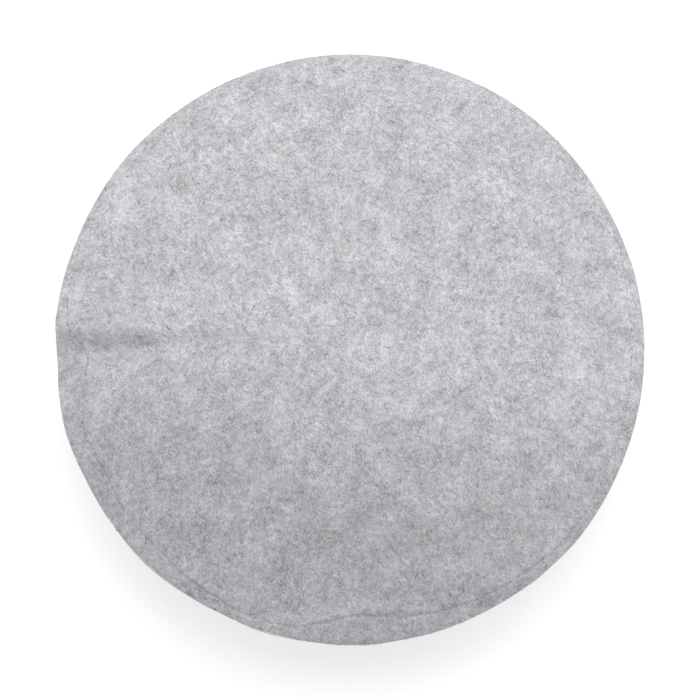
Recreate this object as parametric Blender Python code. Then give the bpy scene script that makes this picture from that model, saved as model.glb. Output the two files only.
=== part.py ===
"""A pakol: a soft round cap of felted wool cloth with a wide flat crown and rolled-up sides.

The crown is one round piece of cloth. The side is one long strip, joined into a tube, whose
upper edge is stitched under the crown's edge. From that seam the strip runs in over the head
opening, down to the rim, out and up again, and rolls up inside itself into a thick soft ring.

Metres, +Z up. The origin is on the surface that the cap rests on, below the crown's middle.
Azimuth 0 is +X, 90 is +Y (the back) and 270 is -Y (the front).
"""

from collections import namedtuple
from math import cos, exp, hypot, pi, radians, sin, tan

import bmesh
import bpy
from mathutils import Vector

MM = 0.001
SEGMENTS = 72

CLOTH = 2.2 * MM
SEAM_GAP = 0.35 * MM

# Crown: its stitched seam, its rise above the seam, and the padded ridge just inside the seam
SEAM_RADIUS = 118.0 * MM
SEAM_HEIGHT = 62.0 * MM
CROWN_RISE = 11.5 * MM
CROWN_FULLNESS = 2.6
RIDGE_RADIUS_SHARE = 0.966
RIDGE_WIDTH_SHARE = 0.016
RIDGE_RISE = 0.9 * MM

# Flange: the two edges stitched together, which stand out past the seam over the roll.
# It is wider where the seam runs further in, and it hangs steeper where it would pass the
# cap's outline, a circle of EDGE_RADIUS set forward by EDGE_FORWARD.
FLANGE_WIDTH = 5.2 * MM
FLANGE_WIDTH_PER_OUT = -0.35
FLANGE_PUFF = 0.3 * MM
EDGE_RADIUS = 123.2 * MM
EDGE_FORWARD = 5.0 * MM
STEEPEST_DROOP = radians(68)
FLATTEST_DROOP = radians(14)
DROOP_MIDDLE_REACH = 0.45
DROOP_SHARPNESS = 4.0
SLOPE_INSIDE_SEAM = radians(20)

# Roll: the head opening inside it, its widest line outside and its height under the crown
OPENING_RADIUS = 95.0 * MM
ROLL_RADIUS = 127.3 * MM
ROLL_TOP_BELOW_SEAM = 8.8 * MM

WOOL_GREY = (0.50, 0.495, 0.515, 1.0)
WOOL_GREY_SIDE = (0.46, 0.455, 0.475, 1.0)
FELT_ROUGHNESS = 0.95

# The stitched seam's line, worn out of round: how far out it lies past SEAM_RADIUS, and how
# high above SEAM_HEIGHT, in millimetres.
Seam = namedtuple("Seam", "azimuth out up")
SEAM = (
    Seam(3, -0.3, 0.0),
    Seam(40, 0.4, -0.6),
    Seam(90, -0.8, -2.0),
    Seam(140, 0.4, -0.8),
    Seam(172, 0.6, 0.8),
    Seam(178, -1.4, -0.4),
    Seam(183, -7.4, -1.8),
    Seam(190, -5.8, -1.0),
    Seam(197, -2.4, 0.0),
    Seam(204, 0.0, 0.4),
    Seam(212, 0.2, 0.0),
    Seam(233, 3.2, 0.2),
    Seam(249, 7.0, 0.6),
    Seam(259, 5.8, 0.2),
    Seam(267, 1.8, -0.5),
    Seam(273, 0.2, 0.2),
    Seam(281, 2.6, 0.6),
    Seam(301, 5.8, 0.2),
    Seam(313, 5.2, -0.6),
    Seam(330, 2.0, 0.0),
    Seam(348, 0.4, 0.4),
)

# Dents (depth above 0) and swells (depth below 0) pressed into the crown, in millimetres:
# the place of the middle, its reach along the radius and across it, and the depth.
# The stitches hold them flat, so they fade out close to the seam.
DENT_FADE = 12
Dent = namedtuple("Dent", "azimuth radius along across depth")
DENTS = (
    Dent(181, 101, 16, 5.0, 3.2),
    Dent(172, 103, 13, 7.0, -2.0),
    Dent(196, 92, 16, 9.0, -1.0),
    Dent(264, 112, 9, 5.0, 1.4),
    Dent(283, 100, 12, 20.0, 1.8),
    Dent(311, 112, 13, 4.0, 1.6),
    Dent(334, 110, 10, 8.0, 1.5),
    Dent(353, 110, 10, 5.0, 1.4),
    Dent(222, 88, 14, 20.0, 1.0),
    Dent(60, 60, 26, 30.0, 0.8),
    Dent(120, 78, 20, 24.0, -0.7),
)

# The roll, squeezed by hand: how far out it bulges past ROLL_RADIUS and how much higher or
# lower its top lies, in millimetres.
Squeeze = namedtuple("Squeeze", "azimuth out up")
SQUEEZES = (
    Squeeze(0, 0.0, -0.4),
    Squeeze(38, -1.3, 0.4),
    Squeeze(64, -0.3, -0.8),
    Squeeze(90, 0.0, 0.0),
    Squeeze(132, -0.9, -1.0),
    Squeeze(158, -0.4, 0.2),
    Squeeze(180, 0.0, -1.4),
    Squeeze(222, -1.1, 0.3),
    Squeeze(248, -0.3, -0.9),
    Squeeze(270, 0.0, 0.2),
    Squeeze(312, -1.4, -1.0),
    Squeeze(338, -0.4, 0.0),
)

# Sections of the crown from its middle to the seam, as shares of the seam's radius
CROWN_SHARES = (0.16, 0.32, 0.48, 0.63, 0.76, 0.86, 0.93, RIDGE_RADIUS_SHARE, 1.0)

# Sections of the flange past the seam, as shares of its width: the crown's layer has one
# more than the strip's, for its puffed middle
FLANGE_SHARES = (0.5, 1.0)
STRIP_FLANGE_SHARES = (1.0, 0.0)

# Sections of the neck, which runs in under the crown to the head opening: the share of the
# way in, and how far below the strip's own seam it lies in millimetres.
Neck = namedtuple("Neck", "inward below")
NECK = (
    Neck(0.22, 1.2),
    Neck(0.55, 3.0),
    Neck(0.86, 6.6),
)

# Sections of the roll below the neck, in the order of the cloth: the share of the way from
# the head opening (0) to the widest line outside (1), and the share of the way from the
# surface below (0) to the roll's top (1).
Turn = namedtuple("Turn", "outward upward")
OPENING_WALL = (
    Turn(0.035, 0.90),
    Turn(0.010, 0.72),
    Turn(0.000, 0.46),
    Turn(0.012, 0.20),
    Turn(0.065, 0.075),
)
FLAT_RIM = (
    Turn(0.22, 0.0),
    Turn(0.36, 0.0),
    Turn(0.50, 0.0),
    Turn(0.64, 0.0),
)
OUTER_WALL = (
    Turn(0.835, 0.050),
    Turn(0.945, 0.165),
    Turn(0.990, 0.33),
    Turn(1.000, 0.53),
    Turn(0.985, 0.72),
    Turn(0.925, 0.88),
    Turn(0.790, 0.975),
    Turn(0.590, 1.00),
    Turn(0.380, 0.98),
    Turn(0.215, 0.88),
)
INNER_TURN = (
    Turn(0.150, 0.66),
    Turn(0.150, 0.28),
    Turn(0.290, 0.090),
    Turn(0.640, 0.090),
    Turn(0.840, 0.26),
    Turn(0.870, 0.62),
    Turn(0.700, 0.85),
)


def around(rows, azimuth, column):
    """A column of a table at any azimuth, on a smooth closed curve through its rows."""
    azimuth %= 360
    count = len(rows)
    after = next((i for i, row in enumerate(rows) if row.azimuth > azimuth), count)
    at = [rows[i % count].azimuth + 360 * (i // count) for i in range(after - 2, after + 2)]
    value = [getattr(rows[i % count], column) for i in range(after - 2, after + 2)]
    span = at[2] - at[1]
    share = (azimuth - at[1]) / span
    start_slope = (value[2] - value[0]) / (at[2] - at[0]) * span
    end_slope = (value[3] - value[1]) / (at[3] - at[1]) * span
    return (
        value[1] * (1 + 2 * share) * (1 - share) ** 2
        + start_slope * share * (1 - share) ** 2
        + value[2] * (3 - 2 * share) * share ** 2
        - end_slope * share ** 2 * (1 - share)
    )


def at_azimuth(radius, azimuth, height):
    angle = radians(azimuth)
    return Vector((radius * cos(angle), radius * sin(angle), height))


def seam_radius(azimuth):
    return SEAM_RADIUS + around(SEAM, azimuth, "out") * MM


def seam_height(azimuth):
    return SEAM_HEIGHT + around(SEAM, azimuth, "up") * MM


def flange_width(azimuth):
    return FLANGE_WIDTH + FLANGE_WIDTH_PER_OUT * around(SEAM, azimuth, "out") * MM


def droop(azimuth):
    """How steeply the flange hangs: the closer its seam lies to the cap's outline, the more."""
    outline = EDGE_RADIUS - EDGE_FORWARD * sin(radians(azimuth))
    reach = (outline - seam_radius(azimuth)) / flange_width(azimuth)
    ease = 1 / (1 + exp(-DROOP_SHARPNESS * (reach - DROOP_MIDDLE_REACH)))
    return STEEPEST_DROOP + (FLATTEST_DROOP - STEEPEST_DROOP) * ease


def dent_depth(point):
    """How far the dents and swells move this point of the crown downwards."""
    depth = 0.0
    for dent in DENTS:
        angle = radians(dent.azimuth)
        along = point.x * cos(angle) + point.y * sin(angle) - dent.radius * MM
        across = point.y * cos(angle) - point.x * sin(angle)
        if along < -dent.radius * MM:
            continue
        depth += dent.depth * MM * exp(
            -((along / (dent.along * MM)) ** 2) - (across / (dent.across * MM)) ** 2
        )
    return depth


def crown_point(share, azimuth):
    """A point of the crown's mid surface, at this share of the way from the middle to the seam."""
    rise = CROWN_RISE * (1 - share ** CROWN_FULLNESS)
    ridge = RIDGE_RISE * exp(-(((share - RIDGE_RADIUS_SHARE) / RIDGE_WIDTH_SHARE) ** 2))
    seam = seam_height(azimuth) - SEAM_HEIGHT
    point = at_azimuth(share * seam_radius(azimuth), azimuth, SEAM_HEIGHT)
    point.z += seam * share ** CROWN_FULLNESS + rise + ridge
    point.z -= dent_depth(point) * (1 - share ** DENT_FADE)
    return point


def flange_point(share, azimuth, layer=0):
    """A point of the flange, at this share of its width past the seam. Layer 1 is the strip's,
    which follows the crown's round the bend at the seam."""
    angle = droop(azimuth)
    below = layer * (CLOTH + SEAM_GAP)
    puff = FLANGE_PUFF * sin(pi * share) * (1 - layer)
    mitre = below * tan((angle - SLOPE_INSIDE_SEAM) / 2)
    reach = share * flange_width(azimuth) + (1 - share) * mitre
    radius = seam_radius(azimuth) + reach * cos(angle) + (puff - below) * sin(angle)
    height = seam_height(azimuth) - reach * sin(angle) + (puff - below) * cos(angle)
    return at_azimuth(radius, azimuth, height)


def neck_point(neck, azimuth):
    seam = flange_point(0.0, azimuth, 1)
    start = hypot(seam.x, seam.y)
    radius = start + (OPENING_RADIUS - start) * neck.inward
    return at_azimuth(radius, azimuth, seam.z - neck.below * MM)


def roll_point(turn, azimuth):
    widest = ROLL_RADIUS + around(SQUEEZES, azimuth, "out") * MM
    top = seam_height(azimuth) - ROLL_TOP_BELOW_SEAM + around(SQUEEZES, azimuth, "up") * MM
    radius = OPENING_RADIUS + (widest - OPENING_RADIUS) * turn.outward
    height = CLOTH / 2 + (top - CLOTH / 2) * turn.upward
    return at_azimuth(radius, azimuth, height)


def felt(name, colour):
    material = bpy.data.materials.new(name)
    material.use_nodes = True
    shader = material.node_tree.nodes["Principled BSDF"]
    shader.inputs["Base Color"].default_value = colour
    shader.inputs["Roughness"].default_value = FELT_ROUGHNESS
    shader.inputs["Metallic"].default_value = 0.0
    return material


def cloth(name, rings, material, middle=None):
    """A piece of cloth over closed rings of points, with a wall of the cloth's thickness."""
    shape = bmesh.new()
    rows = [[shape.verts.new(point) for point in ring] for ring in rings]
    for inner, outer in zip(rows, rows[1:]):
        for i in range(SEGMENTS):
            j = (i + 1) % SEGMENTS
            shape.faces.new((inner[i], outer[i], outer[j], inner[j]))
    if middle is not None:
        centre = shape.verts.new(middle)
        for i in range(SEGMENTS):
            shape.faces.new((centre, rows[0][i], rows[0][(i + 1) % SEGMENTS]))
    mesh = bpy.data.meshes.new(name)
    shape.to_mesh(mesh)
    shape.free()
    mesh.shade_smooth()
    mesh.materials.append(material)
    piece = bpy.data.objects.new(name, mesh)
    bpy.context.scene.collection.objects.link(piece)
    wall = piece.modifiers.new("Wall", "SOLIDIFY")
    wall.thickness = CLOTH
    wall.offset = 0.0
    wall.use_even_offset = True
    wall.use_quality_normals = True
    return piece


def make_crown(azimuths):
    rings = [[crown_point(share, azimuth) for azimuth in azimuths] for share in CROWN_SHARES]
    for share in FLANGE_SHARES:
        rings.append([flange_point(share, azimuth) for azimuth in azimuths])
    middle = Vector((0.0, 0.0, SEAM_HEIGHT + CROWN_RISE))
    middle.z -= dent_depth(middle)
    return cloth("crown", rings, felt("crown_felt", WOOL_GREY), middle)


def make_rolled_side(azimuths):
    rings = []
    for share in STRIP_FLANGE_SHARES:
        rings.append([flange_point(share, azimuth, 1) for azimuth in azimuths])
    for neck in NECK:
        rings.append([neck_point(neck, azimuth) for azimuth in azimuths])
    for turn in OPENING_WALL + FLAT_RIM + OUTER_WALL + INNER_TURN:
        rings.append([roll_point(turn, azimuth) for azimuth in azimuths])
    return cloth("rolled_side", rings, felt("side_felt", WOOL_GREY_SIDE))


for leftover in list(bpy.data.objects):
    bpy.data.objects.remove(leftover)

AZIMUTHS = [360 * i / SEGMENTS for i in range(SEGMENTS)]
make_crown(AZIMUTHS)
make_rolled_side(AZIMUTHS)
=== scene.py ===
from collections import namedtuple
from math import cos, pi, radians, sin

import bpy
import numpy as np
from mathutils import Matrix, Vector, noise


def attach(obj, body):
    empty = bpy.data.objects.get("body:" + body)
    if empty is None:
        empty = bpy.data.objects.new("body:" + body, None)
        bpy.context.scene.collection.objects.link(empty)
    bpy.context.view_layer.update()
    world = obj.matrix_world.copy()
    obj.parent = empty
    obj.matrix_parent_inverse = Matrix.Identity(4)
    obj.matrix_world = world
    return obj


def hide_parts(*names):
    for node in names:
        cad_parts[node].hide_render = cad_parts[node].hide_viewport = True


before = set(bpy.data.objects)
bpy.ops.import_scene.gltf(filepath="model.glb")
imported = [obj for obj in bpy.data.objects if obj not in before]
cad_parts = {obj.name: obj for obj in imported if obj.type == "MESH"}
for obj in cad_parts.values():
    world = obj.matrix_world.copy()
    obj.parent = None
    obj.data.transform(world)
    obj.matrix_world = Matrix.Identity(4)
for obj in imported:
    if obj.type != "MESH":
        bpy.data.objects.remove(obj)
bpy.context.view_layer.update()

# Crown: one round piece of light grey felted wool cloth, 2.2 mm thick. Wear has left it with soft
# dents, and its stitched edge stands out past the seam as a flange, steep at the back and flat
# at the front. The seam's thread pulls the felt into a groove, with a plump ridge inside it.
MM = 0.001
CLOTH = 2.2 * MM
SEAM_RADIUS = 118.0 * MM
SEAM_HEIGHT = 62.0 * MM
CROWN_RISE = 11.5 * MM
CROWN_FULLNESS = 3.0
CROWN_FULLER_BEHIND = 1.0
TUCK_LENGTH = 11.0 * MM
FLANGE_WIDTH = 6.2 * MM
EDGE_RADIUS = 123.2 * MM
EDGE_FORWARD = 5.0 * MM
STEEPEST_DROOP = radians(84)
FLATTEST_DROOP = radians(11)
DROOP_MIDDLE_REACH = 0.45
DROOP_SHARPNESS = 4.0

# The stitched seam's worn line: how far out past SEAM_RADIUS and how high above SEAM_HEIGHT, in mm,
# and by how many degrees the crown's cloth has rolled over before it reaches the seam
Seam = namedtuple("Seam", "azimuth out up tuck")
SEAM = (
    Seam(1, -0.2, 0.0, 0),
    Seam(10, 0.2, 0.0, 4),
    Seam(26, 2.6, -1.6, 26),
    Seam(38, 3.8, -2.9, 39),
    Seam(50, 4.2, -4.0, 50),
    Seam(90, 4.9, -5.5, 58),
    Seam(128, 4.2, -4.6, 52),
    Seam(150, 3.6, -2.6, 36),
    Seam(166, 1.6, -0.2, 14),
    Seam(174, 0.6, 0.6, 2),
    Seam(178, -0.6, 0.6, 0),
    Seam(182, -6.9, -2.1, 0),
    Seam(185, -8.3, -3.4, 0),
    Seam(188, -6.8, -2.0, 0),
    Seam(193, -4.4, -0.5, 0),
    Seam(200, -1.0, 0.2, 0),
    Seam(209, -2.0, 0.2, 0),
    Seam(216, -0.6, 0.0, 0),
    Seam(231, 1.2, 0.0, 0),
    Seam(243, 3.9, 0.3, 0),
    Seam(250, 5.1, 0.6, 0),
    Seam(256, 5.0, 0.4, 0),
    Seam(261, 3.4, 0.0, 0),
    Seam(267, -1.0, -0.5, 0),
    Seam(272, -2.4, 0.0, 0),
    Seam(277, -1.6, 0.3, 0),
    Seam(283, 0.2, 0.4, 0),
    Seam(291, 2.3, 0.4, 0),
    Seam(300, 3.7, 0.2, 0),
    Seam(309, 4.3, -0.5, 0),
    Seam(317, 5.0, -0.5, 0),
    Seam(325, 3.8, 0.0, 0),
    Seam(334, 1.9, 0.2, 0),
    Seam(348, 0.6, 0.4, 0),
)
SEAM_WANDER = ((0.55 * MM, 10.0 * MM), (0.28 * MM, 4.0 * MM))

# How far past the seam the flange reaches, in mm
Flange = namedtuple("Flange", "azimuth width")
FLANGES = (
    Flange(2, 6.9),
    Flange(24, 7.0),
    Flange(42, 5.8),
    Flange(60, 3.8),
    Flange(90, 3.4),
    Flange(130, 3.6),
    Flange(158, 4.6),
    Flange(169, 4.7),
    Flange(178, 7.9),
    Flange(182, 16.0),
    Flange(185, 17.7),
    Flange(188, 16.3),
    Flange(194, 13.3),
    Flange(201, 10.0),
    Flange(209, 11.0),
    Flange(218, 9.7),
    Flange(232, 8.4),
    Flange(243, 5.6),
    Flange(250, 4.4),
    Flange(256, 4.8),
    Flange(261, 7.6),
    Flange(267, 13.2),
    Flange(272, 14.8),
    Flange(277, 13.6),
    Flange(283, 11.4),
    Flange(291, 8.6),
    Flange(300, 6.6),
    Flange(309, 5.6),
    Flange(318, 4.6),
    Flange(334, 6.4),
    Flange(348, 6.9),
)

# Dents (depth above 0) and swells in the crown, in mm. They fade out close to the seam.
DENT_FADE = 12
Dent = namedtuple("Dent", "azimuth radius along across depth")
DENTS = (
    Dent(183.2, 104, 22, 4.4, 4.4),
    Dent(173, 104, 15, 6.5, -1.2),
    Dent(194, 94, 16, 9.0, -0.6),
    Dent(181, 78, 16, 6.0, 0.8),
    Dent(264, 110, 9, 5.0, 0.7),
    Dent(283, 100, 12, 20.0, 0.9),
    Dent(311, 111, 10, 5.0, 1.3),
    Dent(334, 108, 13, 7.0, 1.2),
    Dent(355, 109, 9, 5.0, 1.0),
    Dent(222, 88, 14, 20.0, 0.7),
    Dent(60, 60, 26, 30.0, 0.5),
    Dent(120, 78, 20, 24.0, -0.5),
)

# How strongly the felt stands up beside the stitches: the ridge inside the seam and the hollow
# inside that ridge
Pull = namedtuple("Pull", "azimuth ridge hollow groove")
PULLS = (
    Pull(5, 0.35, 0.30, 0.55),
    Pull(30, 0.05, 0.00, 0.80),
    Pull(90, 0.00, 0.00, 1.00),
    Pull(155, 0.05, 0.00, 0.80),
    Pull(171, 0.40, 0.20, 0.95),
    Pull(186, 0.40, 0.30, 0.95),
    Pull(200, 0.40, 0.30, 0.90),
    Pull(215, 0.55, 0.30, 0.80),
    Pull(240, 0.85, 0.50, 0.80),
    Pull(258, 0.95, 0.80, 0.60),
    Pull(268, 1.20, 1.10, 1.10),
    Pull(282, 1.20, 1.20, 1.10),
    Pull(292, 1.10, 0.90, 0.80),
    Pull(308, 1.00, 0.65, 0.70),
    Pull(335, 0.50, 0.45, 0.50),
)
RIDGE_HEIGHT = 0.8 * MM
RIDGE_PLACE = -1.9
RIDGE_WIDTH = 1.6
RIDGE_BREAKS = 7 * MM
HOLLOW_DEPTH = 0.5 * MM
HOLLOW_PLACE = -6.6
HOLLOW_WIDTH = 2.4
GROOVE_DEPTH = 0.6 * MM
GROOVE_BREAKS = 5 * MM
GROOVE_WIDTH = 0.34
FLANGE_PUFF = 0.3 * MM


def curve_through(at, values, where):
    """Values between the rows of a table, on a smooth curve through the rows."""
    after = np.clip(np.searchsorted(at, where, side="right"), 1, len(at) - 1)
    before = after - 1
    low, high = np.maximum(before - 1, 0), np.minimum(after + 1, len(at) - 1)

    def per_row(numbers):
        return numbers.reshape(numbers.shape + (1,) * (values.ndim - 1))

    span = at[after] - at[before]
    share = per_row((where - at[before]) / span)
    start = (values[after] - values[low]) * per_row(span / (at[after] - at[low]))
    end = (values[high] - values[before]) * per_row(span / (at[high] - at[before]))
    return (
        values[before] * (1 + 2 * share) * (1 - share) ** 2
        + start * share * (1 - share) ** 2
        + values[after] * (3 - 2 * share) * share ** 2
        - end * share ** 2 * (1 - share)
    )


def around(rows, azimuth, column):
    """A column of a table that goes once round the cap, at these azimuths in degrees."""
    at = np.array([row.azimuth for row in rows], float)
    values = np.array([getattr(row, column) for row in rows], float)
    at = np.concatenate([at[-2:] - 360, at, at[:2] + 360])
    values = np.concatenate([values[-2:], values, values[:2]])
    return curve_through(at, values, np.asarray(azimuth, float) % 360)


def bump(distance, width):
    return np.exp(-((distance / width) ** 2))


def lumps(points, size, place=(0.0, 0.0, 0.0)):
    """Smooth unevenness from -1 to 1 at these points, with lumps of this size. Each place gives
    another stretch of the same unevenness."""
    shift = Vector(place)
    return np.array([noise.noise(Vector(point) / size + shift) for point in points])


def wander(azimuth):
    """How far the stitched line strays sideways."""
    every = np.arange(0.0, 360.0, 0.5)
    circle = np.stack([np.cos(np.radians(every)), np.sin(np.radians(every)), 0 * every], 1)
    stray = sum(reach * lumps(circle * SEAM_RADIUS, size) for reach, size in SEAM_WANDER)
    return np.interp(np.asarray(azimuth) % 360, every, stray, period=360)


def seam_radius(azimuth):
    return SEAM_RADIUS + around(SEAM, azimuth, "out") * MM


def seam_height(azimuth):
    return SEAM_HEIGHT + around(SEAM, azimuth, "up") * MM


def flange_width(azimuth):
    return around(FLANGES, azimuth, "width") * MM


def droop(azimuth):
    """How steeply the flange hangs: the closer its seam lies to the cap's outline, the more."""
    outline = EDGE_RADIUS - EDGE_FORWARD * np.sin(np.radians(azimuth))
    reach = (outline - seam_radius(azimuth)) / flange_width(azimuth)
    ease = 1 / (1 + np.exp(-DROOP_SHARPNESS * (reach - DROOP_MIDDLE_REACH)))
    return STEEPEST_DROOP + (FLATTEST_DROOP - STEEPEST_DROOP) * ease


def dent_depth(x, y):
    depth = np.zeros_like(x)
    for dent in DENTS:
        angle = radians(dent.azimuth)
        along = x * cos(angle) + y * sin(angle) - dent.radius * MM
        across = y * cos(angle) - x * sin(angle)
        shape = bump(along, dent.along * MM) * bump(across, dent.across * MM)
        depth += np.where(along < -dent.radius * MM, 0.0, dent.depth * MM * shape)
    return depth


def tucked(share, azimuth):
    """How far the rolled-over edge lies out and down from the straight one, this share of the way
    round its bend."""
    tuck = np.radians(np.maximum(around(SEAM, azimuth, "tuck"), 0.01))
    out = TUCK_LENGTH * (np.sin(tuck * share) / tuck - share)
    return out, -TUCK_LENGTH * (1 - np.cos(tuck * share)) / tuck


def crown_section(flat, azimuth):
    """How far out and how high the crown's mid surface lies, this far along the cloth from its middle."""
    share = np.minimum(flat / SEAM_RADIUS, 1.0)
    bend = np.clip((flat - SEAM_RADIUS + TUCK_LENGTH) / TUCK_LENGTH, 0.0, 1.0)
    past = np.maximum(flat - SEAM_RADIUS, 0.0) / FLANGE_WIDTH * flange_width(azimuth)
    bend_out, bend_up = tucked(bend, azimuth)
    whole_out, whole_up = tucked(1.0, azimuth)
    out = share * (seam_radius(azimuth) - whole_out) + bend_out
    fall = SEAM_HEIGHT + CROWN_RISE - (seam_height(azimuth) - whole_up)
    fullness = CROWN_FULLNESS + CROWN_FULLER_BEHIND * np.sin(np.radians(azimuth))
    up = SEAM_HEIGHT + CROWN_RISE - fall * share**fullness + bend_up
    x, y = out * np.cos(np.radians(azimuth)), out * np.sin(np.radians(azimuth))
    up -= dent_depth(x, y) * (1 - share**DENT_FADE)
    angle = droop(azimuth)
    return out + past * np.cos(angle), up - past * np.sin(angle)


BEND_STARTS = 110.0 * MM
BEND_EASES_IN = 4.0 * MM
BEND_REACH = 1.3 * MM
BEND_STEPS = (-1.0, -0.5, 0.0, 0.5, 1.0)


def crown_path(flat, azimuth):
    """The same, with the bend over the seam as round as the felt's thickness makes it."""
    reach = BEND_REACH * np.clip((flat - BEND_STARTS) / BEND_EASES_IN, 0, 1)
    steps = [crown_section(flat + step * reach, azimuth) for step in BEND_STEPS]
    return sum(out for out, _ in steps) / len(steps), sum(up for _, up in steps) / len(steps)


# Reach and size of the crown's own unevenness, and the step along it that its slope is taken over
UNEVEN = ((0.30 * MM, 34 * MM), (0.13 * MM, 12 * MM), (0.05 * MM, 5 * MM))
SLOPE_STEP = 0.3 * MM


def crown_surface(flat_x, flat_y, lift=0.0):
    """Points of the crown, from places on the flat round cut: lift 0 is the middle of the
    cloth, and above it are its upper face's ridge, hollow, stitched groove and unevenness."""
    flat = np.hypot(flat_x, flat_y)
    azimuth = np.degrees(np.arctan2(flat_y, flat_x))
    out, up = crown_path(flat, azimuth)
    out_after, up_after = crown_path(flat + SLOPE_STEP, azimuth)
    slope = np.arctan2(up - up_after, out_after - out)
    from_seam = (flat - SEAM_RADIUS - wander(azimuth)) / MM
    past = np.clip(from_seam / (FLANGE_WIDTH / MM), 0, 1)
    where = np.stack([flat_x, flat_y, 0 * flat_x], 1)
    ridge = around(PULLS, azimuth, "ridge") * (0.75 + 0.9 * lumps(where, RIDGE_BREAKS, (4.4, 1.2, 0.6)))
    relief = ridge * RIDGE_HEIGHT * bump(from_seam - RIDGE_PLACE, RIDGE_WIDTH)
    relief -= around(PULLS, azimuth, "hollow") * HOLLOW_DEPTH * bump(from_seam - HOLLOW_PLACE, HOLLOW_WIDTH)
    relief += FLANGE_PUFF * np.sin(pi * past)
    upper = np.where(np.asarray(lift) > 0, 1.0, 0.0)
    groove = around(PULLS, azimuth, "groove") * (0.8 + 1.1 * lumps(where, GROOVE_BREAKS, (9.4, 3.3, 2.6)))
    relief -= upper * np.maximum(groove, 0.1) * GROOVE_DEPTH * bump(from_seam, GROOVE_WIDTH)
    relief += sum(reach * lumps(where, size, (3.1, 0.7, 5.3)) for reach, size in UNEVEN)
    out, up = out + (relief + lift) * np.sin(slope), up + (relief + lift) * np.cos(slope)
    turn = np.radians(azimuth)
    return np.stack([out * np.cos(turn), out * np.sin(turn), up], 1)


def flange_drawn(x, y, back=False):
    """Places on the round cut, with the flange drawn out to its width on the cap, or back."""
    reach = np.maximum(np.hypot(x, y), 1 * MM)
    drawn = flange_width(np.degrees(np.arctan2(y, x))) / FLANGE_WIDTH
    grow = 1 + np.maximum(reach - SEAM_RADIUS, 0.0) * ((1 / drawn if back else drawn) - 1) / reach
    return x * grow, y * grow


def corners_of(piece):
    places = np.empty(len(piece.data.vertices) * 3)
    piece.data.vertices.foreach_get("co", places)
    return places.reshape(-1, 3)


def move_corners(piece, places):
    piece.data.vertices.foreach_set("co", np.asarray(places, np.float32).ravel())
    piece.data.update()


def lay_flat(piece, places, layer="cloth"):
    """Keeps where each corner lies on the flat cut, in metres, as the piece's own map."""
    corner = np.empty(len(piece.data.loops), int)
    piece.data.loops.foreach_get("vertex_index", corner)
    flat_map = piece.data.uv_layers.new(name=layer)
    flat_map.uv.foreach_set("vector", places[corner].astype(np.float32).ravel())
    return flat_map


def give_wall(piece):
    """Gives the sheet the cloth's thickness, half of it to each side."""
    wall = piece.modifiers.new("Wall", "SOLIDIFY")
    wall.thickness = CLOTH
    wall.offset = 0.0
    wall.use_even_offset = True
    wall.use_quality_normals = True
    bpy.context.view_layer.objects.active = piece
    bpy.ops.object.modifier_apply(modifier="Wall")


def mark_depth(piece, first_layer):
    """Keeps how deep in the cloth each corner lies: half its thickness above or below the middle."""
    depth = piece.data.attributes.new(name="depth", type="FLOAT", domain="POINT")
    layers = np.full(len(piece.data.vertices), CLOTH / 2, np.float32)
    layers[first_layer:] = -CLOTH / 2
    depth.data.foreach_set("value", layers)


FIELD_RADIUS = 110.0 * MM
FIELD_RINGS = 60
# Rings of the crown from its field out to its cut edge, in mm from the seam
EDGE_RINGS = (
    -6.9, -5.9, -5.0, -4.2, -3.4, -2.7, -2.1, -1.6, -1.2, -0.85, -0.55, -0.27, 0.0,
    0.27, 0.55, 0.9, 1.35, 1.9, 2.5, 3.1, 3.7, 4.3, 5.2,
)

bpy.ops.object.select_all(action="DESELECT")
bpy.ops.mesh.primitive_grid_add(
    x_subdivisions=2 * FIELD_RINGS, y_subdivisions=2 * FIELD_RINGS, size=2 * FIELD_RADIUS
)
crown = bpy.context.object
crown.name = "crown_cloth"
square = corners_of(crown)
left_or_right = np.abs(square[:, 0]) >= np.abs(square[:, 1])
with np.errstate(divide="ignore", invalid="ignore"):
    lean = np.where(left_or_right, square[:, 1] / square[:, 0], square[:, 0] / square[:, 1])
lean = np.nan_to_num(lean) * pi / 4
along = np.where(left_or_right, square[:, 0], square[:, 1])
round_cut = np.stack([along * np.cos(lean), along * np.sin(lean), 0 * along], 1)
round_cut[~left_or_right] = round_cut[~left_or_right][:, [1, 0, 2]]
move_corners(crown, round_cut)

bpy.ops.object.mode_set(mode="EDIT")
bpy.ops.mesh.select_mode(type="EDGE")
bpy.ops.mesh.select_all(action="SELECT")
bpy.ops.mesh.region_to_loop()
ring_radius = FIELD_RADIUS
for from_seam in EDGE_RINGS:
    next_radius = SEAM_RADIUS + from_seam * MM
    bpy.ops.mesh.extrude_region_move()
    grow = next_radius / ring_radius
    bpy.ops.transform.resize(value=(grow, grow, 1.0), center_override=(0.0, 0.0, 0.0))
    ring_radius = next_radius
bpy.ops.object.mode_set(mode="OBJECT")

flat_crown = corners_of(crown)[:, :2]
lay_flat(crown, np.stack(flange_drawn(*flat_crown.T), 1))
move_corners(crown, crown_surface(flat_crown[:, 0], flat_crown[:, 1]))
give_wall(crown)
walled = corners_of(crown)
half = len(flat_crown)
upper_first = walled[0, 2] > walled[half, 2]
upper = slice(0, half) if upper_first else slice(half, 2 * half)
walled[upper] = crown_surface(flat_crown[:, 0], flat_crown[:, 1], CLOTH / 2)
move_corners(crown, walled)
mark_depth(crown, half)


def round_the_cut(piece, width):
    """Wears the cut edge of the felt round."""
    bpy.ops.object.select_all(action="DESELECT")
    piece.select_set(True)
    bpy.context.view_layer.objects.active = piece
    wear = piece.modifiers.new("Worn cut", "BEVEL")
    wear.width = width
    wear.segments = 2
    wear.limit_method = "ANGLE"
    wear.angle_limit = radians(72)
    bpy.ops.object.modifier_apply(modifier="Worn cut")
    piece.data.shade_smooth()


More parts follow.
